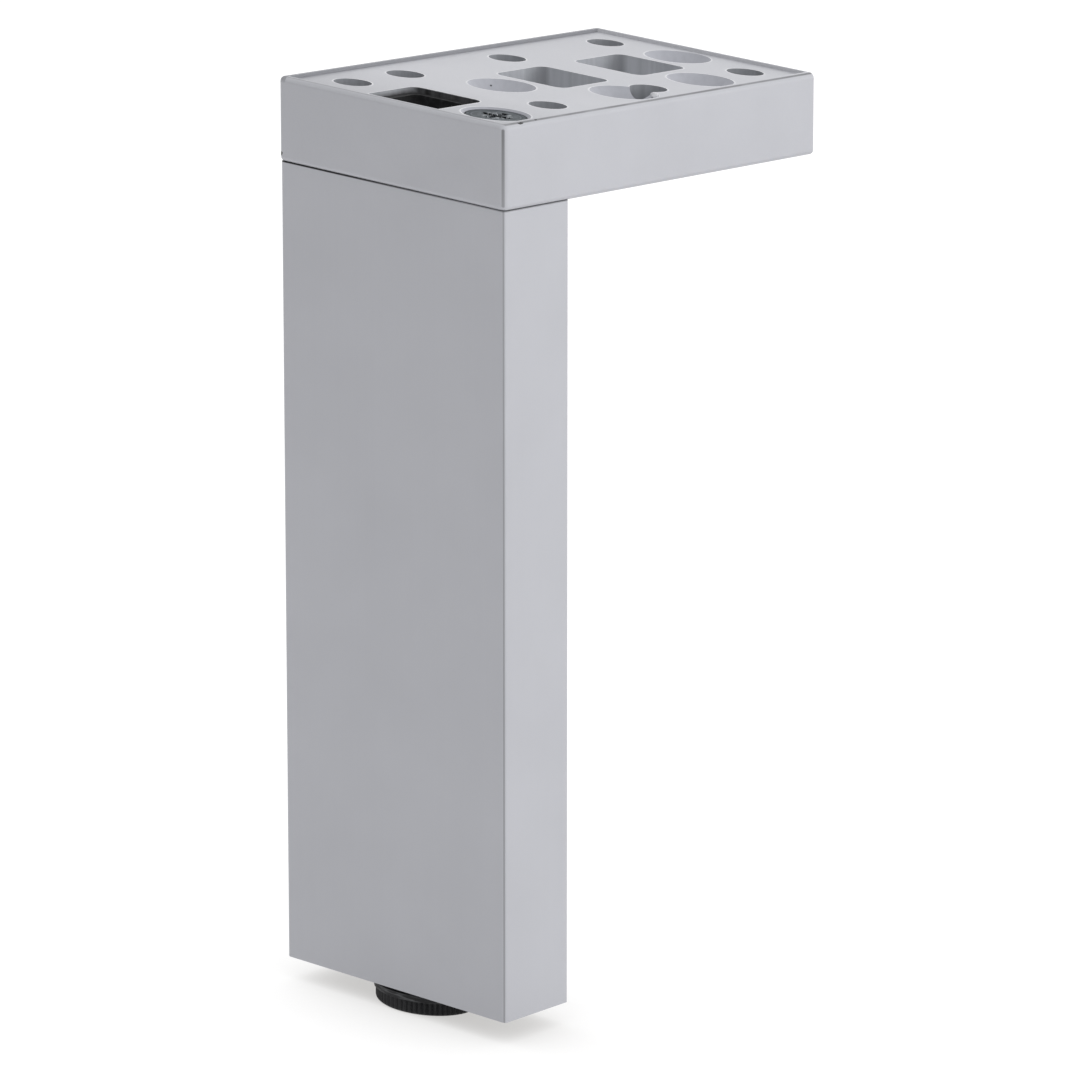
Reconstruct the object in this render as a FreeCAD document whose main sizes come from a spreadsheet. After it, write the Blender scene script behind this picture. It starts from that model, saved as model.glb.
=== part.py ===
import FreeCAD, Part
import math
import os
import re
import Sketcher

# Adjustable cabinet leg: a flat rectangular tube, a wide mounting plate on its top end and a
# knurled foot that screws in and out of its lower end. Millimetres, +Z up. The origin lies on
# the tube's axis, on the floor under the foot. +X runs along the plate to its free end.

SIZES = {
    # rectangular tube
    "tube_width": 50.0,
    "tube_depth": 20.0,
    "tube_wall": 2.0,
    "tube_corner": 0.7,
    "tube_inner_corner": 0.4,
    "tube_length": 151.6,
    # mounting plate, flush with the tube on three sides apart from a small overhang
    "plate_length": 100.5,
    "plate_height": 15.7,
    "plate_overhang": 0.25,
    "plate_corner": 1.2,
    "plate_top_round": 1.0,
    "plate_bottom_round": 0.8,
    "rim_wall": 1.4,
    "rim_depth": 0.6,
    "rim_corner": 0.6,
    "side_wall": 2.5,
    "top_skin": 4.0,
    # screw holes for the cabinet, on a square grid
    "hole_pitch": 32.0,
    "hole_diameter": 7.0,
    "boss_diameter": 13.0,
    "rib_wall": 1.5,
    # square key holes, each with countersunk holes beside it for the tube's screw, whose axis
    # stands screw_offset in from the narrow side of the tube
    "key_size": 15.6,
    "key_corner": 2.0,
    "screw_offset": 9.0,
    "sink_diameter": 12.6,
    "screw_hole_diameter": 6.6,
    # countersunk screw and its nut
    "screw_diameter": 6.0,
    "screw_head_diameter": 11.3,
    "screw_head_land": 0.3,
    "screw_length": 30.0,
    "screw_tip": 0.8,
    "cross_span": 6.2,
    "cross_slot": 1.5,
    "cross_depth": 2.6,
    "cross_taper": 12.0,
    "nut_flats": 10.0,
    "nut_height": 5.0,
    "nut_level": 5.0,
    # plastic plugs in both ends of the tube
    "plug_length": 22.0,
    "plug_corner": 1.0,
    "plug_clearance": 0.05,
    "plug_recess": 0.6,
    "key_clearance": 0.2,
    "key_sink": 1.0,
    "key_wall": 1.6,
    "key_hollow": 18.0,
    "nut_clearance": 0.15,
    # adjusting foot
    "stud_diameter": 8.0,
    "stud_length": 34.0,
    "stud_tip": 1.0,
    "stud_hole_diameter": 8.6,
    "thread_clearance": 0.05,
    "foot_nut_flats": 13.0,
    "foot_nut_height": 6.5,
    "pivot_diameter": 6.0,
    "pivot_length": 2.4,
    "pivot_clearance": 0.05,
    "pivot_end_gap": 0.1,
    "disc_diameter": 19.2,
    "disc_height": 3.9,
    "disc_bottom_round": 0.8,
    "flange_diameter": 19.8,
    "flange_height": 1.3,
    "flange_round": 0.35,
    "foot_gap": 0.4,
    "knurl_count": 60,
    "knurl_depth": 0.35,
    "knurl_width": 0.7,
    "knurl_margin": 0.5,
}

# Fixed forms: a metric countersink, and a hexagon turned to face two flats along X
SINK_ANGLE = 90.0
HEXAGON_SIDES = 6
HEXAGON_TURN = 30.0
HOLE_COLUMNS = 3
FULL_TURN = 360.0
LEVEL_TOLERANCE = 1e-4

# Places worked out from the sizes above
TUBE_BOTTOM = "disc_height + foot_gap"
TUBE_TOP = f"{TUBE_BOTTOM} + tube_length"
PLATE_WIDTH = "tube_width + 2 * plate_overhang"
PLATE_LEFT = "(tube_depth / 2 + plate_overhang)"
PLATE_MIDDLE = f"(plate_length / 2 - {PLATE_LEFT})"
PLATE_END_KEY = f"(plate_length - {PLATE_LEFT} - tube_width / 2 - plate_overhang)"
PLATE_FLOOR = "(plate_height - rim_depth)"
PLUG_DEPTH = "(tube_depth - 2 * tube_wall - 2 * plug_clearance)"
PLUG_WIDTH = "(tube_width - 2 * tube_wall - 2 * plug_clearance)"
SCREW_PLACE = "(tube_width / 2 - screw_offset)"
SINK_SLOPE = f"tan({SINK_ANGLE / 2} deg)"
SCREW_SEAT = f"((sink_diameter - screw_head_diameter) / 2 / {SINK_SLOPE})"

doc = FreeCAD.newDocument("cabinet_leg")
sheet = doc.addObject("Spreadsheet::Sheet", "Sizes")
for row, (name, value) in enumerate(SIZES.items(), start=1):
    sheet.set(f"A{row}", name)
    sheet.set(f"B{row}", str(value))
    sheet.setAlias(f"B{row}", name)
doc.recompute()


def expression(text):
    """Point each size's name in a formula at its cell in the sheet."""
    return re.sub(r"[a-z_]+", lambda word: f"Sizes.{word[0]}" if word[0] in SIZES else word[0], text)


def number(text):
    return float(sheet.evalExpression(expression(text)))


def bind(item, **formulas):
    """Tie properties to formulas; a double underscore stands for the dot of a nested property."""
    for name, text in formulas.items():
        item.setExpression(name.replace("__", "."), expression(text))


def place(item, x="0", y="0", z="0"):
    bind(item, Placement__Base__x=x, Placement__Base__y=y, Placement__Base__z=z)


def new_body(label):
    body = doc.addObject("PartDesign::Body", label)
    body.Label = label
    return body


def new_sketch(body, name, x="0", y="0", z="0", role="XY_Plane"):
    """A sketch on one of the body's origin planes, shifted to x, y, z."""
    sketch = body.newObject("Sketcher::SketchObject", f"{body.Name}_{name}")
    plane = next(part for part in body.Origin.OriginFeatures if part.Role == role)
    sketch.AttachmentSupport = [(plane, "")]
    sketch.MapMode = "FlatFace"
    bind(sketch, AttachmentOffset__Base__x=x, AttachmentOffset__Base__y=y, AttachmentOffset__Base__z=z)
    return sketch


def measure(sketch, kind, references, text):
    """Add a dimension to a sketch and tie it to a formula."""
    index = sketch.addConstraint(Sketcher.Constraint(kind, *references, number(text)))
    sketch.setExpression(f"Constraints[{index}]", expression(text))


def locate(sketch, point, x, y):
    """Dimension a sketch point from the sketch's origin."""
    origin = (-1, 1)
    for kind, text, axis in (("DistanceX", x, -2), ("DistanceY", y, -1)):
        value = number(text)
        if value == 0:
            sketch.addConstraint(Sketcher.Constraint("PointOnObject", *point, axis))
        elif value > 0:
            measure(sketch, kind, (*origin, *point), text)
        else:
            measure(sketch, kind, (*point, *origin), f"-({text})")


def circle(sketch, diameter, x="0", y="0"):
    centre = FreeCAD.Vector(number(x), number(y), 0)
    shape = Part.Circle(centre, FreeCAD.Vector(0, 0, 1), number(diameter) / 2)
    index = sketch.addGeometry(shape, False)
    measure(sketch, "Diameter", (index,), diameter)
    locate(sketch, (index, 3), x, y)


def polygon(sketch, points):
    """A closed outline of straight lines through points given as pairs of formulas."""
    corners = [FreeCAD.Vector(number(x), number(y), 0) for x, y in points]
    first = sketch.GeometryCount
    for start, end in zip(corners, corners[1:] + corners[:1]):
        sketch.addGeometry(Part.LineSegment(start, end), False)
    count = len(points)
    for step, (x, y) in enumerate(points):
        before = first + (step - 1) % count
        sketch.addConstraint(Sketcher.Constraint("Coincident", before, 2, first + step, 1))
        locate(sketch, (first + step, 1), x, y)


def rounded_rectangle(sketch, length, width, radius):
    """A rectangle with round corners, centred on the sketch's origin."""
    r = number(radius)
    x = number(length) / 2 - r
    y = number(width) / 2 - r
    first = sketch.GeometryCount
    up = FreeCAD.Vector(0, 0, 1)
    quarter = math.pi / 2
    corners = ((x, y), (-x, y), (-x, -y), (x, -y))
    sides = (((x, y + r), (-x, y + r)), ((-x - r, y), (-x - r, -y)),
             ((-x, -y - r), (x, -y - r)), ((x + r, -y), (x + r, y)))
    for turn, (corner, side) in enumerate(zip(corners, sides)):
        round_corner = Part.Circle(FreeCAD.Vector(*corner, 0), up, r)
        sketch.addGeometry(Part.ArcOfCircle(round_corner, turn * quarter, (turn + 1) * quarter), False)
        sketch.addGeometry(Part.LineSegment(FreeCAD.Vector(*side[0], 0), FreeCAD.Vector(*side[1], 0)), False)
    for turn in range(4):
        arc = first + 2 * turn
        line = arc + 1
        following = first + 2 * ((turn + 1) % 4)
        sketch.addConstraint(Sketcher.Constraint("Tangent", arc, 2, line, 1))
        sketch.addConstraint(Sketcher.Constraint("Tangent", line, 2, following, 1))
        sketch.addConstraint(Sketcher.Constraint("Vertical" if turn % 2 else "Horizontal", line))
        if turn:
            sketch.addConstraint(Sketcher.Constraint("Equal", first, arc))
    sketch.addConstraint(Sketcher.Constraint("Symmetric", first, 3, first + 4, 3, -1, 1))
    measure(sketch, "Radius", (first,), radius)
    measure(sketch, "DistanceX", (first + 2, 3, first, 3), f"({length}) - 2 * ({radius})")
    measure(sketch, "DistanceY", (first + 6, 3, first, 3), f"({width}) - 2 * ({radius})")


def pad(body, sketch, length, down=False):
    feature = body.newObject("PartDesign::Pad", f"{sketch.Name}_pad")
    feature.Profile = sketch
    feature.Reversed = down
    bind(feature, Length=length)
    return feature


def pocket(body, sketch, depth, up=False):
    """Cut the sketch's outline out of the body, down from the sketch unless up is set."""
    feature = body.newObject("PartDesign::Pocket", f"{sketch.Name}_pocket")
    feature.Profile = sketch
    feature.Reversed = up
    bind(feature, Length=depth)
    return feature


def fillet(body, feature, level, radius):
    """Round every edge of a feature that lies flat at one level."""
    doc.recompute()
    height = number(level)
    names = []
    for index, edge in enumerate(feature.Shape.Edges, start=1):
        box = edge.BoundBox
        if abs(box.ZMin - height) < LEVEL_TOLERANCE and abs(box.ZMax - height) < LEVEL_TOLERANCE:
            names.append(f"Edge{index}")
    rounding = body.newObject("PartDesign::Fillet", f"{feature.Name}_round")
    rounding.Base = (feature, names)
    bind(rounding, Radius=radius)
    return rounding


def make_tube():
    body = new_body("leg_tube")
    section = new_sketch(body, "section")
    rounded_rectangle(section, "tube_depth", "tube_width", "tube_corner")
    rounded_rectangle(section, "tube_depth - 2 * tube_wall", "tube_width - 2 * tube_wall", "tube_inner_corner")
    pad(body, section, "tube_length")
    place(body, z=TUBE_BOTTOM)
    return body


def make_plate():
    body = new_body("mounting_plate")
    outline = new_sketch(body, "outline", x=PLATE_MIDDLE)
    rounded_rectangle(outline, "plate_length", PLATE_WIDTH, "plate_corner")
    block = pad(body, outline, "plate_height")
    block = fillet(body, block, "plate_height", "plate_top_round")
    fillet(body, block, "0", "plate_bottom_round")

    recess = new_sketch(body, "recess", x=PLATE_MIDDLE, z="plate_height")
    rounded_rectangle(recess, "plate_length - 2 * rim_wall", f"{PLATE_WIDTH} - 2 * rim_wall", "rim_corner")
    pocket(body, recess, "rim_depth")

    cut_plate_cores(body)

    # one spare hole over the tube and two rows of three beside it
    grid = new_sketch(body, "grid", z=PLATE_FLOOR)
    circle(grid, "hole_diameter", y="hole_pitch / 2")
    for column in range(HOLE_COLUMNS):
        for row in ("hole_pitch / 2", "-hole_pitch / 2"):
            circle(grid, "hole_diameter", x=f"hole_pitch * ({column} + 0.5)", y=row)
    pocket(body, grid, "plate_height")

    for number_of_key, x in enumerate(("0", PLATE_MIDDLE, PLATE_END_KEY)):
        key = new_sketch(body, f"key_{number_of_key}", x=x, z=PLATE_FLOOR)
        rounded_rectangle(key, "key_size", "key_size", "key_corner")
        pocket(body, key, "plate_height")

    # countersunk holes: across the plate at every key, and along it at the last two
    sinks = new_sketch(body, "sinks", z=PLATE_FLOOR)
    for x in ("0", PLATE_MIDDLE, PLATE_END_KEY):
        circle(sinks, "screw_hole_diameter", x=x, y=f"-{SCREW_PLACE}")
    circle(sinks, "screw_hole_diameter", x=f"{PLATE_MIDDLE} - {SCREW_PLACE}")
    circle(sinks, "screw_hole_diameter", x=f"{PLATE_END_KEY} + {SCREW_PLACE}")
    doc.recompute()
    hole = body.newObject("PartDesign::Hole", "mounting_plate_sink_holes")
    hole.Profile = sinks
    hole.DepthType = "ThroughAll"
    hole.HoleCutType = "Countersink"
    hole.HoleCutCustomValues = True
    hole.HoleCutCountersinkAngle = SINK_ANGLE
    bind(hole, Diameter="screw_hole_diameter", HoleCutDiameter="sink_diameter")
    place(body, z=TUBE_TOP)
    return body


def cut_plate_cores(body):
    """Hollow the plate from below between its screw bosses, in bays split by a rib."""
    inner = "(key_size / 2 + side_wall)"
    outer = "(tube_width / 2 + plate_overhang - side_wall)"
    core_length = "((hole_pitch - boss_diameter - rib_wall) / 2)"
    half_step = f"(({core_length} + rib_wall) / 2)"
    first_bay = f"hole_pitch - {half_step}"
    bays = [(first_bay, 1), (f"hole_pitch + {half_step}", 1), (f"2 * hole_pitch - {half_step}", 1),
            (f"2 * hole_pitch + {half_step}", 1), (first_bay, -1)]
    for bay, (x, side) in enumerate(bays):
        core = new_sketch(body, f"core_{bay}", x=x, y=f"{side} * ({inner} + {outer}) / 2")
        rounded_rectangle(core, core_length, f"{outer} - {inner}", "rib_wall / 2")
        pocket(body, core, f"{PLATE_FLOOR} - top_skin", up=True)


def make_top_insert():
    """The upper plug: a hollow square key stands up into the plate, a nut lies in a side slot."""
    body = new_body("top_insert")
    plug = new_sketch(body, "plug")
    rounded_rectangle(plug, PLUG_DEPTH, PLUG_WIDTH, "plug_corner")
    pad(body, plug, "plug_length", down=True)

    key_height = f"({PLATE_FLOOR} - key_sink)"
    key_side = "(key_size - 2 * key_clearance)"
    key = new_sketch(body, "key")
    rounded_rectangle(key, key_side, key_side, "key_corner")
    pad(body, key, key_height)

    hollow_side = f"{key_side} - 2 * key_wall"
    hollow = new_sketch(body, "hollow", z=key_height)
    rounded_rectangle(hollow, hollow_side, hollow_side, "key_corner / 2")
    pocket(body, hollow, "key_hollow")

    screw_hole = new_sketch(body, "screw_hole")
    circle(screw_hole, "screw_hole_diameter", y=f"-{SCREW_PLACE}")
    pocket(body, screw_hole, "plug_length")

    slot_inner = f"(-{SCREW_PLACE} + nut_flats / sqrt(3) + nut_clearance)"
    slot_outer = f"(-{PLUG_WIDTH} / 2 - nut_clearance)"
    half_slot = "(nut_flats / 2 + nut_clearance)"
    slot = new_sketch(body, "nut_slot", z="-nut_level")
    polygon(slot, [(half_slot, slot_inner), (f"-{half_slot}", slot_inner),
                   (f"-{half_slot}", slot_outer), (half_slot, slot_outer)])
    pocket(body, slot, "nut_height + nut_clearance")
    place(body, z=TUBE_TOP)
    return body


def make_nut(label, flats, height, bore, x, y, z):
    """A plain hexagon nut with two flats facing along X."""
    hexagon = doc.addObject("Part::Prism", f"{label}_hexagon")
    hexagon.Polygon = HEXAGON_SIDES
    hexagon.Placement.Rotation = FreeCAD.Rotation(FreeCAD.Vector(0, 0, 1), HEXAGON_TURN)
    bind(hexagon, Circumradius=f"{flats} / sqrt(3)", Height=height)
    hole = doc.addObject("Part::Cylinder", f"{label}_bore")
    bind(hole, Radius=f"({bore}) / 2", Height=height)
    nut = doc.addObject("Part::Cut", label)
    nut.Label = label
    nut.Base = hexagon
    nut.Tool = hole
    place(nut, x, y, z)
    return nut


def make_screw():
    """Countersunk screw with a tapered cross recess; its head lies just below the plate's floor."""
    body = new_body("fixing_screw")
    profile = new_sketch(body, "profile", role="XZ_Plane")
    cone_height = f"(screw_head_diameter - screw_diameter) / 2 / {SINK_SLOPE}"
    polygon(profile, [("0", "0"), ("screw_head_diameter / 2", "0"),
                      ("screw_head_diameter / 2", "-screw_head_land"),
                      ("screw_diameter / 2", f"-screw_head_land - {cone_height}"),
                      ("screw_diameter / 2", "screw_tip - screw_length"),
                      ("screw_diameter / 2 - screw_tip", "-screw_length"),
                      ("0", "-screw_length")])
    turned = body.newObject("PartDesign::Revolution", "fixing_screw_turned")
    turned.Profile = profile
    turned.ReferenceAxis = (profile, ["V_Axis"])
    turned.Angle = FULL_TURN

    arm = "cross_span / 2"
    slot = "cross_slot / 2"
    cross = new_sketch(body, "cross")
    polygon(cross, [(arm, slot), (slot, slot), (slot, arm), (f"-{slot}", arm), (f"-{slot}", slot), (f"-{arm}", slot),
                    (f"-{arm}", f"-{slot}"), (f"-{slot}", f"-{slot}"), (f"-{slot}", f"-{arm}"), (slot, f"-{arm}"),
                    (slot, f"-{slot}"), (arm, f"-{slot}")])
    recess = pocket(body, cross, "cross_depth")
    bind(recess, TaperAngle="-cross_taper")
    place(body, y=f"-{SCREW_PLACE}", z=f"{TUBE_TOP} + {PLATE_FLOOR} - {SCREW_SEAT} + screw_head_land")
    return body


def make_bottom_insert():
    """The lower plug, with a pocket in its lower face for the foot's nut."""
    body = new_body("bottom_insert")
    plug = new_sketch(body, "plug")
    rounded_rectangle(plug, PLUG_DEPTH, PLUG_WIDTH, "plug_corner")
    pad(body, plug, "plug_length")

    hole = new_sketch(body, "stud_hole", z="plug_length")
    circle(hole, "stud_hole_diameter")
    pocket(body, hole, "plug_length")

    flat = "(foot_nut_flats / 2 + nut_clearance)"
    corner = f"({flat} * 2 / sqrt(3))"
    seat = new_sketch(body, "nut_seat")
    polygon(seat, [(flat, f"{corner} / 2"), ("0", corner), (f"-{flat}", f"{corner} / 2"),
                   (f"-{flat}", f"-{corner} / 2"), ("0", f"-{corner}"), (flat, f"-{corner} / 2")])
    pocket(body, seat, "foot_nut_height + plug_recess", up=True)
    place(body, z=f"{TUBE_BOTTOM} + plug_recess")
    return body


def make_stud():
    """The foot's threaded stud, with a plain pivot at its lower end."""
    body = new_body("foot_stud")
    profile = new_sketch(body, "profile", role="XZ_Plane")
    polygon(profile, [("0", "-pivot_length"), ("pivot_diameter / 2", "-pivot_length"), ("pivot_diameter / 2", "0"),
                      ("stud_diameter / 2", "0"), ("stud_diameter / 2", "stud_length - stud_tip"),
                      ("stud_diameter / 2 - stud_tip", "stud_length"), ("0", "stud_length")])
    turned = body.newObject("PartDesign::Revolution", "foot_stud_turned")
    turned.Profile = profile
    turned.ReferenceAxis = (profile, ["V_Axis"])
    turned.Angle = FULL_TURN
    place(body, z="disc_height + pivot_end_gap")
    return body


def make_disc():
    """The foot: a knurled disc under a smooth flange, with a blind bore for the stud's pivot."""
    body = new_body("foot_disc")
    grip_height = "(disc_height - flange_height)"
    grip_sketch = new_sketch(body, "grip")
    circle(grip_sketch, "disc_diameter")
    grip = pad(body, grip_sketch, grip_height)
    fillet(body, grip, "0", "disc_bottom_round")

    flange_sketch = new_sketch(body, "flange", z=grip_height)
    circle(flange_sketch, "flange_diameter")
    flange = pad(body, flange_sketch, "flange_height")
    fillet(body, flange, "disc_height", "flange_round")

    bore = new_sketch(body, "bore", z="disc_height")
    circle(bore, "pivot_diameter + 2 * pivot_clearance")
    pocket(body, bore, "pivot_length")

    # one groove of the knurl, then the rest round the axis
    outer = "(disc_diameter / 2 + knurl_margin)"
    half_width = "(knurl_width / 2 * (knurl_depth + knurl_margin) / knurl_depth)"
    groove_sketch = new_sketch(body, "groove")
    polygon(groove_sketch, [("disc_diameter / 2 - knurl_depth", "0"), (outer, half_width), (outer, f"-{half_width}")])
    groove = pocket(body, groove_sketch, grip_height, up=True)
    knurl = body.newObject("PartDesign::PolarPattern", "foot_disc_knurl")
    knurl.Originals = [groove]
    knurl.Axis = (groove_sketch, ["N_Axis"])
    knurl.Angle = FULL_TURN
    bind(knurl, Occurrences="knurl_count")
    body.Tip = knurl
    return body


parts = [
    make_plate(),
    make_tube(),
    make_top_insert(),
    make_nut("fixing_nut", "nut_flats", "nut_height", "screw_diameter + 2 * thread_clearance",
             "0", f"-{SCREW_PLACE}", f"{TUBE_TOP} - nut_level - nut_height"),
    make_screw(),
    make_bottom_insert(),
    make_nut("foot_nut", "foot_nut_flats", "foot_nut_height", "stud_diameter + 2 * thread_clearance",
             "0", "0", f"{TUBE_BOTTOM} + 2 * plug_recess"),
    make_stud(),
    make_disc(),
]
doc.recompute()

failed = [item.Name for item in doc.Objects if {"Invalid", "Error"} & set(item.State)]
if failed:
    raise RuntimeError(f"failed objects: {failed}")
for part in parts:
    if part.Shape.isNull() or not part.Shape.isValid():
        raise RuntimeError(f"bad shape: {part.Label}")

os.makedirs("parts", exist_ok=True)
for part in parts:
    part.Shape.exportStep(f"parts/{part.Label}.step")
    box = part.Shape.BoundBox
    print(f"{part.Label}: {part.Shape.Volume:.1f} mm3, x {box.XMin:.2f} to {box.XMax:.2f}, "
          f"y {box.YMin:.2f} to {box.YMax:.2f}, z {box.ZMin:.2f} to {box.ZMax:.2f}")
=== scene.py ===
import math

import bpy
import numpy as np
from mathutils import Matrix, Vector


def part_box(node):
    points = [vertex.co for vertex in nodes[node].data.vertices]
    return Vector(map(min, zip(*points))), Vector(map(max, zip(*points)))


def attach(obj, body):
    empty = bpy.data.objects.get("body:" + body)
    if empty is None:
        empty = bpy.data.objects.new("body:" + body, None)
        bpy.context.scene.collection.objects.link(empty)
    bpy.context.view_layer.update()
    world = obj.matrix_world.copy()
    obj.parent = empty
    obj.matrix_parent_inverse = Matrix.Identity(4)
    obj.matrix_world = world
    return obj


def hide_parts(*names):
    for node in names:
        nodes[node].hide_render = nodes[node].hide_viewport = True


# Looks of the adjustable cabinet leg: satin silver paint on the tube and the mounting plate,
# black plastic plugs, a zinc plated screw and stud, and a black knurled foot.
# Metres, +Z up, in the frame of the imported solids. Small sizes are named in millimetres.

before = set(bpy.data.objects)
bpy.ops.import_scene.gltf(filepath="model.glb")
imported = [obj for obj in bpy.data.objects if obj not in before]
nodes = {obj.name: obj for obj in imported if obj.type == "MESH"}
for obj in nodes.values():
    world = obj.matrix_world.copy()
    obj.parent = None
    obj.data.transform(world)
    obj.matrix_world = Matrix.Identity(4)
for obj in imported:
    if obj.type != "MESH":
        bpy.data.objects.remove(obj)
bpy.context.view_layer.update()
MM = 0.001

# Camera of the photograph: heading from +Y towards +X, tilt below the horizon, and the slant
# that leaves upright edges upright and lets level ones climb towards the right
HEADING = math.radians(54.516)
TILT = math.radians(14.089)
SLANT = 0.08872
LENS = 230.62
SENSOR = 36.0
CLIP_START = 0.05
CAMERA_PLACE = Vector((-0.97964, -0.72270, 0.39710))

# Colours in linear light
PAINT_LIGHT = (0.535, 0.541, 0.577)
PAINT_DARK = (0.500, 0.506, 0.540)
SINK_LIGHT = (0.475, 0.484, 0.530)
SINK_DARK = (0.440, 0.449, 0.492)
KEY_LIGHT = (0.500, 0.514, 0.548)
KEY_DARK = (0.420, 0.434, 0.464)
HOLE_LIGHT = (0.385, 0.397, 0.428)
HOLE_DARK = (0.315, 0.327, 0.352)
KEY_SHADE = (0.100, 0.101, 0.106)
KEY_CORNER_SHADE = (0.265, 0.273, 0.293)
RIM_SHADE = (0.440, 0.446, 0.475)
BACK_RIM_SHADE = (0.330, 0.335, 0.360)
TOP_SHADE = (0.375, 0.380, 0.406)
# Painted highlight on the curl of torn paint
BURR_HIGHLIGHT = (0.600, 0.606, 0.635)
# Paint build-up round the openings, lighter as a painted highlight; also painted light on the rim's inner
# wall facing -X
BUILD_UP_AND_HIGHLIGHT = (0.720, 0.725, 0.750)
# Painted shade for the dark reflection along rounded edges that face away from the light
EDGE_PAINTED_SHADE = (0.230, 0.232, 0.245)
# Painted shade at the joint under the plate
SEAM_SHADE = (0.030, 0.030, 0.032)
BASE_PLASTIC = (0.020, 0.020, 0.021)
PLUG_BLACK = (0.016, 0.016, 0.017)
PLUG_WORN = (0.040, 0.040, 0.043)
FOOT_BLACK = (0.008, 0.008, 0.009)
FOOT_WORN = (0.020, 0.020, 0.022)
FOOT_SHADE = (0.002, 0.002, 0.002)
# Dust and a painted highlight on one side of the foot's flange
FOOT_DUST_AND_HIGHLIGHT = (0.095, 0.097, 0.102)
GROOVE_DUST = (0.026, 0.026, 0.028)
ZINC_LIGHT = (0.34, 0.36, 0.37)
ZINC_DARK = (0.18, 0.19, 0.20)
SCREW_LIGHT = (0.190, 0.203, 0.215)
SCREW_DARK = (0.030, 0.033, 0.036)
SCREW_EDGE = (0.56, 0.58, 0.60)
SCREW_GLINT = (0.66, 0.68, 0.70)
FLOOR_WHITE = (0.30, 0.30, 0.30)
FLOOR_SHADE = (1.0, 0.985, 0.965)
WHITE = (1.0, 1.0, 1.0)

# The studio: the floor's glow as seen and as mirrored, the soft shade on it near the part,
# and the sky from its dark to its bright side; the floor's drop and the shade's reach in millimetres
FLOOR_HALF = 6.0
FLOOR_DROP = 0.02
FLOOR_ROUGH = 0.9
FLOOR_SEEN = 0.80
FLOOR_MIRRORED = 0.58
SHADE_LEAN = Vector((-0.16, 0.23, 0.96))
SHADE_REACH = 35.0
SHADE_BAND = (0.2, 1.0)
SHADE_GLOW = (0.68, 1.0)
SKY_DARK_FROM = -0.72
SKY_BRIGHT = 2.27
SKY_EVEN = 0.7
BRIGHT_SIDE = Vector((0.82, -0.57, 0.0))

# The plate's openings, in millimetres: square keys, sinks and screw holes
KEY_PLACES = (0.0, 40.0, 65.0)
KEY_FLAT = 5.8
KEY_CORNER = 2.0
SINK_PLACES = ((0.0, -16.0), (40.0, -16.0), (65.0, -16.0), (24.0, 0.0), (81.0, 0.0))
SINK_RADIUS = 6.3
HOLE_PITCH = 32.0
HOLE_SPARE = (0.0, 16.0)
HOLE_RADIUS = 3.5
RIM_DEPTH = 0.6

# Noise: its cells in a metre and its detail; a stretch below 1 draws it out along that axis
PAINT_CLOUD = (45.0, 3.0)
PAINT_GRAIN = (2600.0, 2.0)
PAINT_PEEL = (620.0, 2.0)
PAINT_PATCHES = (160.0, 3.0)
CHIP_CRUMBS = (2400.0, 2.0)
TUBE_STREAKS = (700.0, 2.0)
TUBE_STRETCH = Vector((1.0, 1.0, 0.01))
WALL_STREAKS = (900.0, 2.0)
WALL_STRETCH = Vector((1.0, 1.0, 0.05))
PLASTIC_GRAIN = (1500.0, 3.0)
PLUG_STROKES = (900.0, 3.0)
PLUG_STRETCH = Vector((0.15, 1.0, 1.0))
FOOT_CLOUD = (260.0, 3.0)
FOOT_STROKES = (1100.0, 3.0)
FOOT_STRETCH = Vector((0.25, 0.25, 2.0))
ZINC_CLOUD = (900.0, 4.0)
ZINC_GRAIN = (3000.0, 2.0)
SCREW_FLECKS = (1700.0, 2.0)

# Finish: roughness from smooth to rough grain, and relief as its height in metres and its strength
PAINT_ROUGH = (0.40, 0.50)
PAINT_METAL = 0.5
DULL_ROUGH = 0.25
BURR_ROUGH = (0.45, 0.65)
PLUG_ROUGH = (0.55, 0.75)
PLUG_SPECULAR = 0.2
FOOT_ROUGH = (0.42, 0.60)
FOOT_SPECULAR = 0.3
ZINC_ROUGH = (0.30, 0.50)
PEEL_RELIEF = (0.00002, 0.5)
PAINT_RELIEF = (0.00001, 0.35)
BURR_RELIEF = (0.00002, 0.5)
PLASTIC_RELIEF = (0.00003, 0.4)
ZINC_RELIEF = (0.00002, 0.4)

# Bands of noise that a mix runs over, the least and most that a patchy mask lets through,
# and the first one's share where two noises are added
NOISE_BAND = (0.3, 0.7)
TONE_BAND = (0.35, 0.65)
PATCH_BAND = (0.3, 0.6)
EDGE_STREAK_BAND = (0.2, 0.6)
PLUG_WORN_BAND = (0.45, 0.75)
FOOT_WORN_BAND = (0.40, 0.70)
FOOT_DUST_AND_HIGHLIGHT_BAND = (0.45, 0.62)
ZINC_CLOUD_BAND = (0.38, 0.66)
FLECK_BAND = (0.57, 0.64)
PATCHY = (0.5, 1.0)
PATCHY_EDGE = (0.7, 1.0)
STREAKY_EDGE = (0.45, 0.65)
CLOUD_SHARE = 0.6
TUBE_TONE_SHARE = 0.75

# Bands of the normal: a mask is none at the first value and full at the second;
# FRONT is the way that the upright edge between the -X and -Y sides faces
FRONT = Vector((-0.80, -0.60, 0.0))
FRONT_BAND = (0.955, 0.99)
LEVEL = (0.95, 0.98)
LEVEL_RIM = (0.93, 0.98)
LEVEL_LIP = (0.95, 0.99)
NOT_LEVEL = (0.95, 0.80)
NOT_UPRIGHT = (0.10, 0.25)
LEANING = (0.995, 0.93)
EDGE_FROM_SIDE = (0.70, 0.80)
EDGE_FROM_TOP = (0.985, 0.95)
NOT_LEFT = (-0.5, -0.2)
LEFTWARD = (-0.3, -0.8)
FAR_WALL = (-0.5, -0.9)
SIDE_WALL = (-0.05, -0.55)
CONE = (0.2, 0.5)
FLANGE_LEFT = (-0.45, -0.95)
FOOT_UPWARD = (0.35, 0.75)

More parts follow.
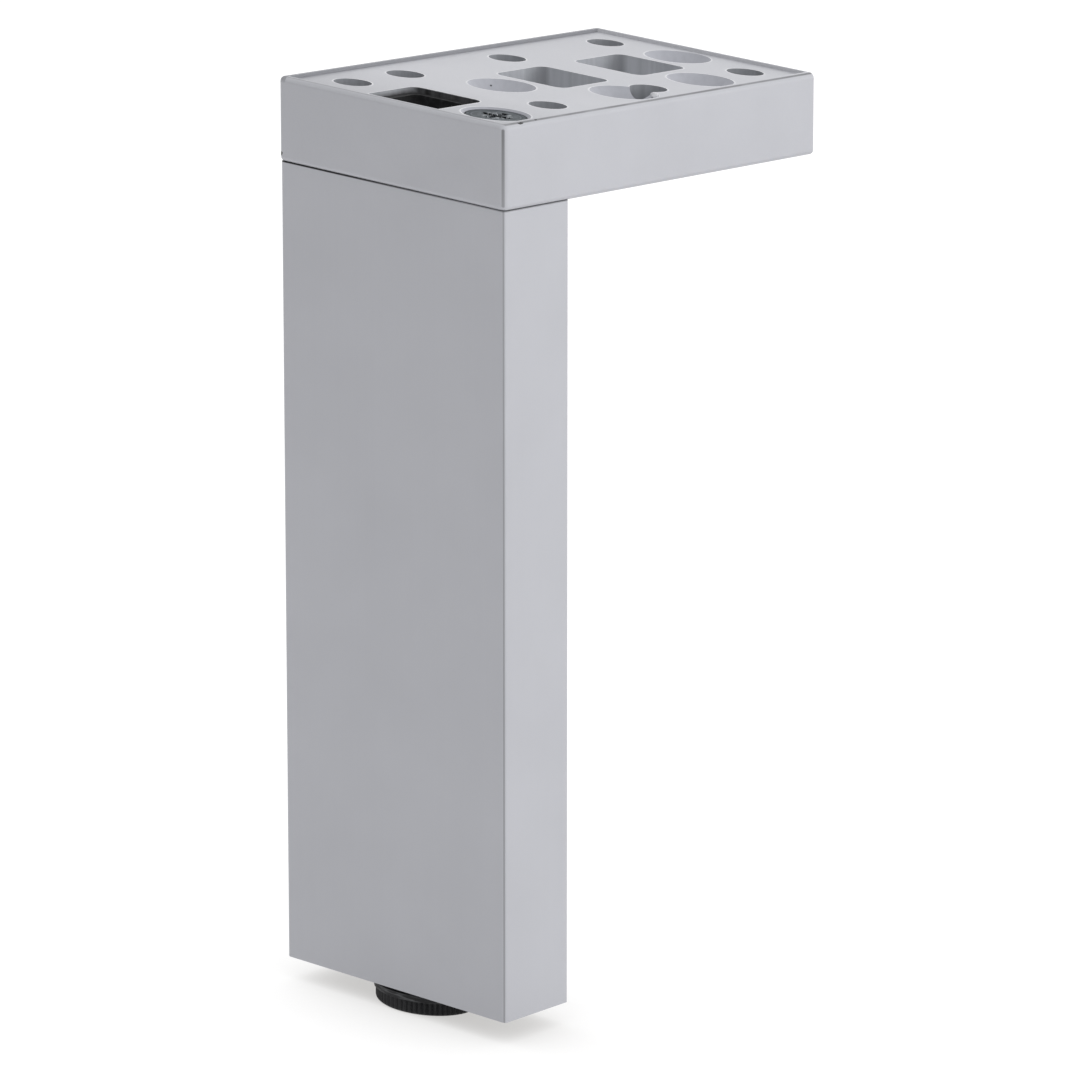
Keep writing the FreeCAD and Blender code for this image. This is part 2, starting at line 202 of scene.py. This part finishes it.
# Bands of place on the plate, in millimetres: inward from its sides, from its lowest or highest corner,
# down its used key hole or out from its openings; a share is what a mask has at its band's two ends
OUTER_SKIN = (1.15, 1.05)
BEHIND_RIM = (1.2, 1.4)
RIM_WALL_FROM = (1.2, 1.35)
RIM_WALL_TO = (1.75, 1.6)
RIM_WALL_SHARE = (0.0, 0.8)
OFF_UNDERSIDE = (0.2, 0.5)
TOP_ALONG = (-9.0, 14.0)
TOP_SHARE = (0.75, 0.0)
LEFT_RIM = (1.5, 1.2)
BACK_RIM = (-1.75, -1.55)
BACK_RIM_HEIGHT = (-1.2, -0.5)
LINE_TOP = 2.0
LINE_SHARE = (0.60, 1.0)
HOLE_WALL = (0.1, 0.5)
LIP = (0.40, 0.12)
KEY_CORNER_ALONG = (6.0, 0.6)
USED_KEY = (8.6, 8.3)
USED_KEY_DEPTH = (0.25, 1.2)
USED_KEY_FAR_DEPTH = (0.03, 0.16)

# Places where the paint is chipped, with the reach of each chip, in millimetres
CHIPS = (
    ((-9.98, 24.80, 157.3), (0.66, 0.66, 0.45)),
    ((-4.85, -25.0, 171.40), (0.90, 0.50, 0.24)),
    ((0.1, -24.8, 171.52), (0.55, 0.45, 0.14)),
    ((26.7, 4.4, 169.9), (0.22, 0.22, 0.22)),
)
CHIP_EDGE = (0.9, 0.6)
CHIP_RAGGED = (-0.8, 0.8)

# The joint under the plate, in millimetres: its painted shade lies at the tube's top and grows towards +Y
SEAM_BAND = (-0.24, -0.10)
SEAM_ALONG = (-18.0, 12.0)
SEAM_SHARE = (0.45, 1.0)

# The foot, in millimetres: radius from the ribs' crests into their grooves, and the flange below its top
GROOVE_BAND = (9.58, 9.38)
FLANGE_BAND = (-1.6, -1.1)

# The screw's head, in millimetres: rings as radius, half width, share and colour, and its recess
SCREW_RINGS = (
    (4.75, 0.16, 0.7, SCREW_DARK),
    (4.45, 0.14, 0.8, SCREW_LIGHT),
    (5.50, 0.22, 1.0, BASE_PLASTIC),
)
RECESS_BAND = (3.4, 2.9)

# The stud's thread, in millimetres, with the share of each flank that is flat at crest and root,
# and its steps round a turn and rows up a turn
THREAD_PITCH = 1.25
THREAD_DEPTH = 0.68
THREAD_FLAT = 0.125
THREAD_AROUND = 48
THREAD_ROWS_A_TURN = 12
PIVOT_RADIUS = 3.0
PIVOT_LENGTH = 2.4
TIP_CHAMFER = 1.0

# The paint curl, in millimetres and degrees: its arc on the sink's edge, its tapering size, its roll,
# its wave, whose length is in radians, and its steps
BURR_CENTRE = Vector((40.0, -16.0, 170.9))
BURR_RADIUS = 5.75
BURR_FROM = -79.0
BURR_ARC = 41.0
BURR_LEAST = 0.17
BURR_SWELL = 0.36
BURR_TAPER = 0.7
BURR_CURL_FROM = -60.0
BURR_CURL = 265.0
BURR_INNER = 0.72
BURR_WIDEN = 1.5
BURR_WAVE = 0.12
BURR_WAVE_LENGTH = 9.0
BURR_LIFT = 0.30
BURR_ALONG = 20
BURR_ACROSS = 10


class Shading:
    """A material's node tree, with one method for each kind of node that it uses."""

    def __init__(self, name):
        self.material = bpy.data.materials.new(name)
        self.material.use_nodes = True
        self.tree = self.material.node_tree
        self.shader = self.tree.nodes["Principled BSDF"]
        source = self.tree.nodes.new("ShaderNodeTexCoord").outputs
        self.place = source["Object"]
        self.normal = source["Normal"]
        self.x, self.y, self.z = self.parts(self.place)
        self.nx, self.ny, self.nz = self.parts(self.normal)

    def add(self, kind, **inputs):
        node = self.tree.nodes.new(kind)
        for name, value in inputs.items():
            self.feed(node.inputs[name], value)
        return node

    def feed(self, socket, value):
        if isinstance(value, bpy.types.NodeSocket):
            self.tree.links.new(value, socket)
        else:
            socket.default_value = value

    def parts(self, vector):
        return self.add("ShaderNodeSeparateXYZ", Vector=vector).outputs

    def vector(self, operation, first, second):
        node = self.tree.nodes.new("ShaderNodeVectorMath")
        node.operation = operation
        self.feed(node.inputs[0], first)
        self.feed(node.inputs[1], second)
        return node.outputs["Value" if operation in ("DOT_PRODUCT", "DISTANCE") else "Vector"]

    def stretched(self, factors):
        return self.vector("MULTIPLY", self.place, factors)

    def math(self, operation, first, second=0.0, third=0.0):
        node = self.tree.nodes.new("ShaderNodeMath")
        node.operation = operation
        for index, value in enumerate((first, second, third)):
            self.feed(node.inputs[index], value)
        return node.outputs["Value"]

    def fold(self, operation, first, *others):
        for other in others:
            first = self.math(operation, first, other)
        return first

    def product(self, *values):
        return self.fold("MULTIPLY", *values)

    def least(self, *values):
        return self.fold("MINIMUM", *values)

    def most(self, *values):
        return self.fold("MAXIMUM", *values)

    def weigh(self, first, second, share):
        return self.math("ADD", self.product(first, share), self.product(second, 1.0 - share))

    def length(self, first, second):
        return self.math("SQRT", self.math("ADD", self.product(first, first), self.product(second, second)))

    def size(self, value):
        return self.math("ABSOLUTE", value)

    def offset(self, value, centre):
        return self.size(self.math("SUBTRACT", value, centre))

    def noise(self, cells, detail, place=None):
        node = self.add("ShaderNodeTexNoise", Vector=place or self.place, Scale=cells, Detail=detail)
        return node.outputs["Fac"]

    def spread(self, value, band, to=(0.0, 1.0)):
        """Where a value lies in a band, from the first limit at its start to the second at its end."""
        node = self.tree.nodes.new("ShaderNodeMapRange")
        for index, item in enumerate((value, *band, *to)):
            self.feed(node.inputs[index], item)
        return node.outputs["Result"]

    def reach(self, distance, band, to=(0.0, 1.0), base=0.0):
        """The same for a distance, with its band in millimetres from a base."""
        return self.spread(distance, [base + edge * MM for edge in band], to)

    def mix(self, share, first, second):
        node = self.tree.nodes.new("ShaderNodeMix")
        node.data_type = "RGBA"
        self.feed(node.inputs[0], share)
        for index, colour in ((6, first), (7, second)):
            whole = colour if isinstance(colour, bpy.types.NodeSocket) else (*colour, 1.0)
            self.feed(node.inputs[index], whole)
        return node.outputs[2]

    def bump(self, height, relief, below=None):
        depth, strength = relief
        node = self.add("ShaderNodeBump", Height=height, Distance=depth, Strength=strength)
        if below is not None:
            self.feed(node.inputs["Normal"], below)
        return node.outputs["Normal"]

    def finish(self, **inputs):
        for name, value in inputs.items():
            socket = self.shader.inputs[name.replace("_", " ")]
            whole = (*value, 1.0) if isinstance(value, tuple) and len(value) == 3 else value
            self.feed(socket, whole)
        return self.material


def paint_colour(look):
    """Satin silver with soft clouds and a fine grain."""
    cloud = look.noise(*PAINT_CLOUD)
    grain = look.noise(*PAINT_GRAIN)
    return look.spread(look.weigh(cloud, grain, CLOUD_SHARE), TONE_BAND), grain


def paint_relief(look, grain):
    """The paint's fine grain over its soft orange peel."""
    peel = look.bump(look.noise(*PAINT_PEEL), PEEL_RELIEF)
    return look.bump(grain, PAINT_RELIEF, peel)


def front_edge_shade(look):
    """The painted shade down the upright edge between the sides that face -X and -Y, standing in for a dark
    reflection.
    """
    return look.spread(look.vector("DOT_PRODUCT", look.normal, FRONT), FRONT_BAND)


def tube_paint(name):
    """The tube's paint, faintly streaked along its length, with painted shade down its front edge and at the
    joint under the plate.
    """
    look = Shading(name)
    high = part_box("leg_tube")[1]
    tone, grain = paint_colour(look)
    streaks = look.noise(*TUBE_STREAKS, look.stretched(TUBE_STRETCH))
    colour = look.mix(look.weigh(tone, streaks, TUBE_TONE_SHARE), PAINT_DARK, PAINT_LIGHT)
    # painted shade down the front edge, broken up by the streaks
    edge_shade_line = look.product(front_edge_shade(look), look.spread(streaks, EDGE_STREAK_BAND, STREAKY_EDGE))
    colour = look.mix(edge_shade_line, colour, EDGE_PAINTED_SHADE)
    # painted shade at the tube's top, where the plate sits on it
    seam_shade = look.product(look.reach(look.z, SEAM_BAND, base=high.z),
                        look.reach(look.y, SEAM_ALONG, SEAM_SHARE))
    colour = look.mix(seam_shade, colour, SEAM_SHADE)
    return look.finish(Base_Color=colour, Roughness=look.spread(grain, NOISE_BAND, PAINT_ROUGH),
                       Normal=paint_relief(look, grain), Metallic=PAINT_METAL)


def from_openings(look):
    """How far a place on the plate lies from its nearest opening, and from its nearest screw hole."""
    hole_x = look.offset(look.math("WRAP", look.x, HOLE_PITCH * MM), HOLE_PITCH / 2 * MM)
    hole_y = look.offset(look.size(look.y), HOLE_PITCH / 2 * MM)
    spare = look.length(look.offset(look.x, HOLE_SPARE[0] * MM), look.offset(look.y, HOLE_SPARE[1] * MM))
    holes = look.math("SUBTRACT", look.least(look.length(hole_x, hole_y), spare), HOLE_RADIUS * MM)
    gaps = [holes]
    for x, y in SINK_PLACES:
        away = look.length(look.offset(look.x, x * MM), look.offset(look.y, y * MM))
        gaps.append(look.math("SUBTRACT", away, SINK_RADIUS * MM))
    key_x = look.least(*[look.offset(look.x, x * MM) for x in KEY_PLACES])
    past_x, past_y = [look.most(look.math("SUBTRACT", away, KEY_FLAT * MM), 0.0)
                      for away in (key_x, look.size(look.y))]
    gaps.append(look.math("SUBTRACT", look.length(past_x, past_y), KEY_CORNER * MM))
    return look.least(*gaps), holes


def wall_colour(look, holes, streaks):
    """The thin paint in the openings: screw holes, square keys with painted shade in the far corner, and
    sinks.
    """
    key = look.mix(streaks, KEY_DARK, KEY_LIGHT)
    far_walls = [(x + KEY_FLAT + KEY_CORNER) * MM for x in KEY_PLACES]
    from_far_wall = look.least(*[look.offset(look.x, wall) for wall in far_walls])
    corner = look.product(look.reach(from_far_wall, KEY_CORNER_ALONG), look.spread(look.ny, SIDE_WALL))
    key = look.mix(corner, key, KEY_CORNER_SHADE)
    hole = look.mix(streaks, HOLE_DARK, HOLE_LIGHT)
    sink = look.mix(streaks, SINK_DARK, SINK_LIGHT)
    wall = look.mix(look.reach(holes, HOLE_WALL), hole, key)
    return look.mix(look.spread(look.nz, CONE), wall, sink)


def used_key_shade(look, top):
    """The dark in the key hole over the tube, which starts higher up on its far wall."""
    depth = look.math("SUBTRACT", top - RIM_DEPTH * MM, look.z)
    around = look.most(look.size(look.x), look.size(look.y))
    far_wall = look.product(look.spread(look.nx, FAR_WALL), look.reach(depth, USED_KEY_FAR_DEPTH))
    return look.product(look.reach(around, USED_KEY), look.most(look.reach(depth, USED_KEY_DEPTH), far_wall))


def chips(look):
    """A ragged spot of bare plastic at each chip."""
    ragged = look.spread(look.noise(*CHIP_CRUMBS), (0.0, 1.0), CHIP_RAGGED)
    spots = []
    for place, reach in CHIPS:
        shrink = Vector([1.0 / (size * MM) for size in reach])
        centre = Vector([value / size for value, size in zip(place, reach)])
        away = look.vector("DISTANCE", look.stretched(shrink), centre)
        spots.append(look.spread(look.math("ADD", away, ragged), CHIP_EDGE))
    return look.most(*spots)


def plate_paint(name):
    """The plate's paint: thin and dull in its pockets, thick round their rims with a painted highlight,
    chipped at a few edges; painted shade on its top towards -X, on its rims and edges, and painted light on
    its inner rim wall.
    """
    look = Shading(name)
    low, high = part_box("mounting_plate")
    middle = (low + high) / 2
    half = (high - low) / 2
    inward = look.least(look.math("SUBTRACT", half.x, look.offset(look.x, middle.x)),
                        look.math("SUBTRACT", half.y, look.offset(look.y, middle.y)))
    outside = look.reach(inward, OUTER_SKIN)
    steep = look.product(look.spread(look.nz, NOT_LEVEL), look.reach(look.z, OFF_UNDERSIDE, base=low.z))
    pocket = look.product(look.reach(inward, BEHIND_RIM), steep)
    slope = look.product(look.spread(look.nz, NOT_UPRIGHT), look.spread(look.nz, LEANING), outside)
    tone, grain = paint_colour(look)
    patches = look.noise(*PAINT_PATCHES)
    streaks = look.spread(look.noise(*WALL_STREAKS, look.stretched(WALL_STRETCH)), NOISE_BAND)
    openings, holes = from_openings(look)

    colour = look.mix(tone, PAINT_DARK, PAINT_LIGHT)
    top = look.product(look.spread(look.nz, LEVEL), look.reach(look.x, TOP_ALONG, TOP_SHARE))
    colour = look.mix(top, colour, TOP_SHADE)
    colour = look.mix(pocket, colour, wall_colour(look, holes, streaks))
    shaded = look.product(pocket, used_key_shade(look, high.z))
    colour = look.mix(shaded, colour, look.mix(streaks, PLUG_BLACK, KEY_SHADE))

    left_rim = look.product(look.reach(look.x, LEFT_RIM, base=low.x), look.spread(look.nz, LEVEL_RIM))
    colour = look.mix(left_rim, colour, RIM_SHADE)
    back_rim = look.product(look.reach(look.y, BACK_RIM, base=high.y),
                            look.reach(look.z, BACK_RIM_HEIGHT, base=high.z))
    colour = look.mix(back_rim, colour, BACK_RIM_SHADE)
    # paint build-up round the openings, lighter as a painted highlight
    lip_and_highlight = look.product(look.reach(openings, LIP), look.spread(look.nz, LEVEL_LIP),
                       look.spread(patches, PATCH_BAND, PATCHY))
    # painted light on the rim's inner wall that faces -X
    rim_wall_light = look.product(look.reach(inward, RIM_WALL_FROM), look.reach(inward, RIM_WALL_TO), steep,
                            look.spread(look.nx, LEFTWARD, RIM_WALL_SHARE))
    colour = look.mix(look.most(lip_and_highlight, rim_wall_light), colour, BUILD_UP_AND_HIGHLIGHT)

    # painted shade down the plate's upright front edge and along its rounded top edges that face -Y, patchy
    edge_shade_line = look.product(front_edge_shade(look), outside,
                        look.spread(look.z, (low.z, high.z - LINE_TOP * MM), LINE_SHARE))
    colour = look.mix(edge_shade_line, colour, EDGE_PAINTED_SHADE)
    top_edge_shade = look.product(look.spread(look.nz, EDGE_FROM_SIDE), look.spread(look.nz, EDGE_FROM_TOP),
                              look.spread(look.nx, NOT_LEFT), outside,
                              look.spread(patches, PATCH_BAND, PATCHY_EDGE))
    colour = look.mix(top_edge_shade, colour, EDGE_PAINTED_SHADE)
    bare = chips(look)
    colour = look.mix(bare, colour, BASE_PLASTIC)

    dull = look.most(pocket, slope, bare)
    rough = look.math("ADD", look.spread(grain, NOISE_BAND, PAINT_ROUGH), look.product(dull, DULL_ROUGH))
    return look.finish(Base_Color=colour, Roughness=rough, Normal=paint_relief(look, grain),
                       Metallic=look.spread(dull, (0.0, 1.0), (PAINT_METAL, 0.0)))


def burr_paint(name):
    """The torn paint of the curl: lighter than the plate's as a painted highlight, and rougher."""
    look = Shading(name)
    grain = look.noise(*PAINT_GRAIN)
    colour = look.mix(look.spread(grain, TONE_BAND), PAINT_DARK, BURR_HIGHLIGHT)
    return look.finish(Base_Color=colour, Roughness=look.spread(grain, NOISE_BAND, BURR_ROUGH),
                       Normal=look.bump(grain, BURR_RELIEF))


def plug_plastic(name):
    """Black plastic with pale strokes of wear along X."""
    look = Shading(name)
    grain = look.noise(*PLASTIC_GRAIN)
    strokes = look.noise(*PLUG_STROKES, look.stretched(PLUG_STRETCH))
    colour = look.mix(look.spread(strokes, PLUG_WORN_BAND), PLUG_BLACK, PLUG_WORN)
    return look.finish(Base_Color=colour, Roughness=look.spread(grain, NOISE_BAND, PLUG_ROUGH),
                       Normal=look.bump(grain, PLASTIC_RELIEF), Specular_IOR_Level=PLUG_SPECULAR)


def foot_plastic(name):
    """Black plastic, dusty in the grooves between its ribs, with dust and a painted highlight on one side of
    its smooth flange, and painted shade on its upward faces.
    """
    look = Shading(name)
    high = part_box("foot_disc")[1]
    grain = look.noise(*PLASTIC_GRAIN)
    cloud = look.noise(*FOOT_CLOUD)
    strokes = look.noise(*FOOT_STROKES, look.stretched(FOOT_STRETCH))
    colour = look.mix(look.spread(cloud, FOOT_WORN_BAND), FOOT_BLACK, FOOT_WORN)
    groove = look.product(look.reach(look.length(look.x, look.y), GROOVE_BAND),
                          look.spread(strokes, PATCH_BAND, PATCHY))
    colour = look.mix(groove, colour, GROOVE_DUST)
    # dust and a painted highlight on the flange's side that faces -X
    flange_dust_and_highlight = look.product(look.reach(look.z, FLANGE_BAND, base=high.z), look.spread(look.nx, FLANGE_LEFT),
                          look.spread(strokes, FOOT_DUST_AND_HIGHLIGHT_BAND))
    colour = look.mix(flange_dust_and_highlight, colour, FOOT_DUST_AND_HIGHLIGHT)
    colour = look.mix(look.spread(look.nz, FOOT_UPWARD), colour, FOOT_SHADE)
    return look.finish(Base_Color=colour, Roughness=look.spread(grain, NOISE_BAND, FOOT_ROUGH),
                       Normal=look.bump(grain, PLASTIC_RELIEF), Specular_IOR_Level=FOOT_SPECULAR)


def screw_marks(look, colour, axis):
    """The turned rings of a screw's head, the dark joint round it and the glints in its recess."""
    radius = look.vector("DISTANCE", look.stretched(Vector((1.0, 1.0, 0.0))), axis)
    for ring, width, share, shade in SCREW_RINGS:
        gap = look.offset(radius, ring * MM)
        colour = look.mix(look.reach(gap, (width, width / 2), (0.0, share)), colour, shade)
    flecks = look.spread(look.noise(*SCREW_FLECKS), FLECK_BAND)
    return look.mix(look.product(flecks, look.reach(radius, RECESS_BAND)), colour, SCREW_GLINT)


def zinc_plate(name, dark, light, edge, axis=None):
    """Dull zinc, with a screw's marks where the screw's axis is given."""
    look = Shading(name)
    cloud = look.noise(*ZINC_CLOUD)
    grain = look.noise(*ZINC_GRAIN)
    colour = look.mix(look.spread(cloud, ZINC_CLOUD_BAND), dark, light)
    if axis is not None:
        colour = screw_marks(look, colour, axis)
    return look.finish(Base_Color=colour, Roughness=look.spread(cloud, NOISE_BAND, ZINC_ROUGH), Metallic=1.0,
                       Normal=look.bump(grain, ZINC_RELIEF), Specular_Tint=edge)


def dress(node, material):
    mesh = nodes[node].data
    mesh.materials.clear()
    mesh.materials.append(material)


def new_object(name, points, faces, material):
    mesh = bpy.data.meshes.new(name)
    mesh.from_pydata(points, [], faces)
    mesh.materials.append(material)
    made = bpy.data.objects.new(name, mesh)
    bpy.context.scene.collection.objects.link(made)
    return made


def make_thread(material):
    """The stud with its rolled thread: rings of vertices that follow the helix, closed at both ends."""
    low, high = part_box("foot_stud")
    radius = high.x
    pitch = THREAD_PITCH * MM
    shoulder = low.z + PIVOT_LENGTH * MM
    rows = int((high.z - shoulder) / pitch * THREAD_ROWS_A_TURN)
    turns = np.arange(THREAD_AROUND) / THREAD_AROUND
    pivot = np.full(THREAD_AROUND, PIVOT_RADIUS * MM)
    rings = [(low.z, pivot), (shoulder, pivot)]
    for height in np.linspace(shoulder, high.z, rows + 1):
        phase = (height / pitch - turns) % 1.0
        ramp = np.abs(phase - 0.5) * 2.0
        root = np.clip(ramp * (1.0 + 2.0 * THREAD_FLAT) - THREAD_FLAT, 0.0, 1.0)
        limit = radius - max(0.0, height - (high.z - TIP_CHAMFER * MM))
        rings.append((height, np.minimum(radius - THREAD_DEPTH * MM * root, limit)))
    points = []
    for height, sizes in rings:
        for turn, size in zip(turns, sizes):
            angle = 2.0 * math.pi * turn
            points.append((size * math.cos(angle), size * math.sin(angle), height))
    faces = []
    for row in range(len(rings) - 1):
        first = row * THREAD_AROUND
        second = first + THREAD_AROUND
        for step in range(THREAD_AROUND):
            following = (step + 1) % THREAD_AROUND
            faces.append((first + step, first + following, second + following, second + step))
    faces.append(tuple(reversed(range(THREAD_AROUND))))
    faces.append(tuple(range(len(points) - THREAD_AROUND, len(points))))
    stud = new_object("threaded_stud", points, faces, material)
    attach(stud, "foot_stud")
    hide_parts("foot_stud")


def make_burr(material):
    """The curl of paint left where a screw hole cuts into the sink beside it: a closed, tapering strip."""
    centre = BURR_CENTRE * MM
    loop = 2 * (BURR_ACROSS + 1)
    points = []
    for row in range(BURR_ALONG + 1):
        share = row / BURR_ALONG
        angle = math.radians(BURR_FROM + BURR_ARC * share)
        size = (BURR_LEAST + BURR_SWELL * math.sin(math.pi * share) ** BURR_TAPER) * MM
        wave = BURR_WAVE * MM * math.sin(BURR_WAVE_LENGTH * share)
        for column in range(loop):
            inner = column > BURR_ACROSS
            step = loop - 1 - column if inner else column
            curl = math.radians(BURR_CURL_FROM + BURR_CURL * step / BURR_ACROSS)
            reach = size * (BURR_INNER if inner else 1.0)
            out = BURR_RADIUS * MM - reach * BURR_WIDEN * math.cos(curl) + wave
            level = centre.z + size * BURR_LIFT + reach * math.sin(curl)
            points.append((centre.x + out * math.cos(angle), centre.y + out * math.sin(angle), level))
    last = BURR_ALONG * loop
    faces = [tuple(range(loop)), tuple(reversed(range(last, last + loop)))]
    for row in range(BURR_ALONG):
        first = row * loop
        second = first + loop
        for column in range(loop):
            following = (column + 1) % loop
            faces.append((first + column, second + column, second + following, first + following))
    burr = new_object("paint_burr", points, faces, material)
    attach(burr, "leg")


def make_camera():
    """A level-edged camera: a stretched carrier under it gives the photograph's slant."""
    level = Vector((math.sin(HEADING), math.cos(HEADING), 0.0))
    ahead = level * math.cos(TILT) - Vector((0.0, 0.0, math.sin(TILT)))
    right = Vector((math.cos(HEADING), -math.sin(HEADING), 0.0))
    up = right.cross(ahead)
    turn = np.array([right, up, -ahead]).T
    slant = np.array([[1.0, 0.0, 0.0], [SLANT, 1.0, 0.0], [0.0, 0.0, 1.0]])
    first, stretch, last = np.linalg.svd(slant)
    if np.linalg.det(first) < 0:
        first[:, -1] *= -1
        last[-1] *= -1
    carrier = bpy.data.objects.new("camera_carrier", None)
    bpy.context.scene.collection.objects.link(carrier)
    carrier.matrix_world = (Matrix.Translation(CAMERA_PLACE)
                            @ Matrix((turn @ first).tolist()).to_4x4()
                            @ Matrix.Diagonal((*stretch, 1.0)))
    data = bpy.data.cameras.new("camera")
    data.lens = LENS
    data.sensor_width = SENSOR
    data.clip_start = CLIP_START
    camera = bpy.data.objects.new("camera", data)
    bpy.context.scene.collection.objects.link(camera)
    camera.parent = carrier
    camera.matrix_basis = Matrix(last.tolist()).to_4x4()
    bpy.context.scene.camera = camera


def make_floor():
    """A white floor that stays under the foot as the foot is screwed out."""
    look = Shading("floor_white")
    lean = look.add("ShaderNodeCombineXYZ", X=SHADE_LEAN.x, Y=SHADE_LEAN.y, Z=SHADE_LEAN.z).outputs["Vector"]
    near = look.add("ShaderNodeAmbientOcclusion", Distance=SHADE_REACH * MM, Normal=lean).outputs["AO"]
    seen = look.add("ShaderNodeLightPath").outputs["Is Camera Ray"]
    glow = look.product(look.spread(seen, (0.0, 1.0), (FLOOR_MIRRORED, FLOOR_SEEN)),
                        look.spread(near, SHADE_BAND, SHADE_GLOW))
    white = look.finish(Base_Color=FLOOR_WHITE, Roughness=FLOOR_ROUGH, Emission_Strength=glow,
                        Emission_Color=look.mix(near, FLOOR_SHADE, WHITE))
    corners = [(-FLOOR_HALF, -FLOOR_HALF, 0), (FLOOR_HALF, -FLOOR_HALF, 0),
               (FLOOR_HALF, FLOOR_HALF, 0), (-FLOOR_HALF, FLOOR_HALF, 0)]
    floor = new_object("floor", corners, [(0, 1, 2, 3)], white)
    floor.location.z = -FLOOR_DROP * MM
    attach(floor, "foot_stud")


def make_light():
    """A studio sky: low down it is bright on one side, overhead it is even; the backdrop itself is white."""
    world = bpy.data.worlds.new("studio")
    world.use_nodes = True
    tree = world.node_tree

    def node(kind, *values, operation=None):
        made = tree.nodes.new(kind)
        if operation:
            made.operation = operation
        for socket, value in zip(made.inputs, values):
            if isinstance(value, bpy.types.NodeSocket):
                tree.links.new(value, socket)
            else:
                socket.default_value = value
        return made.outputs

    direction = node("ShaderNodeTexCoord")["Generated"]
    across = node("ShaderNodeVectorMath", direction, BRIGHT_SIDE, operation="DOT_PRODUCT")["Value"]
    height = node("ShaderNodeSeparateXYZ", direction)["Z"]
    low = node("ShaderNodeMapRange", height, 0.0, SKY_EVEN, 1.0, 0.0)["Result"]
    side = node("ShaderNodeMath", across, low, operation="MULTIPLY")["Value"]
    glow = node("ShaderNodeMapRange", side, SKY_DARK_FROM, 1.0, 0.0, SKY_BRIGHT)["Result"]
    sky = node("ShaderNodeBackground", (*WHITE, 1.0), glow)["Background"]
    backdrop = node("ShaderNodeBackground", (*WHITE, 1.0), 1.0)["Background"]
    seen = node("ShaderNodeLightPath")["Is Camera Ray"]
    choice = node("ShaderNodeMixShader", seen, sky, backdrop)["Shader"]
    tree.links.new(choice, tree.nodes["World Output"].inputs["Surface"])
    tree.nodes.remove(tree.nodes["Background"])
    bpy.context.scene.world = world


def dress_part():
    """Every node's material, the stud's thread and the paint curl."""
    plug = plug_plastic("black_plastic")
    zinc = zinc_plate("zinc_steel", ZINC_DARK, ZINC_LIGHT, WHITE)
    low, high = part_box("fixing_screw")
    middle = (low + high) / 2
    axis = Vector((middle.x, middle.y, 0.0))
    dress("leg_tube", tube_paint("tube_paint"))
    dress("mounting_plate", plate_paint("plate_paint"))
    for node in ("top_insert", "bottom_insert"):
        dress(node, plug)
    dress("foot_disc", foot_plastic("foot_plastic"))
    dress("fixing_screw", zinc_plate("screw_zinc", SCREW_DARK, SCREW_LIGHT, SCREW_EDGE, axis))
    for node in ("fixing_nut", "foot_nut", "foot_stud"):
        dress(node, zinc)
    make_thread(zinc)
    make_burr(burr_paint("burr_paint"))


dress_part()
make_camera()
make_floor()
make_light()
bpy.context.scene.view_settings.view_transform = "Standard"
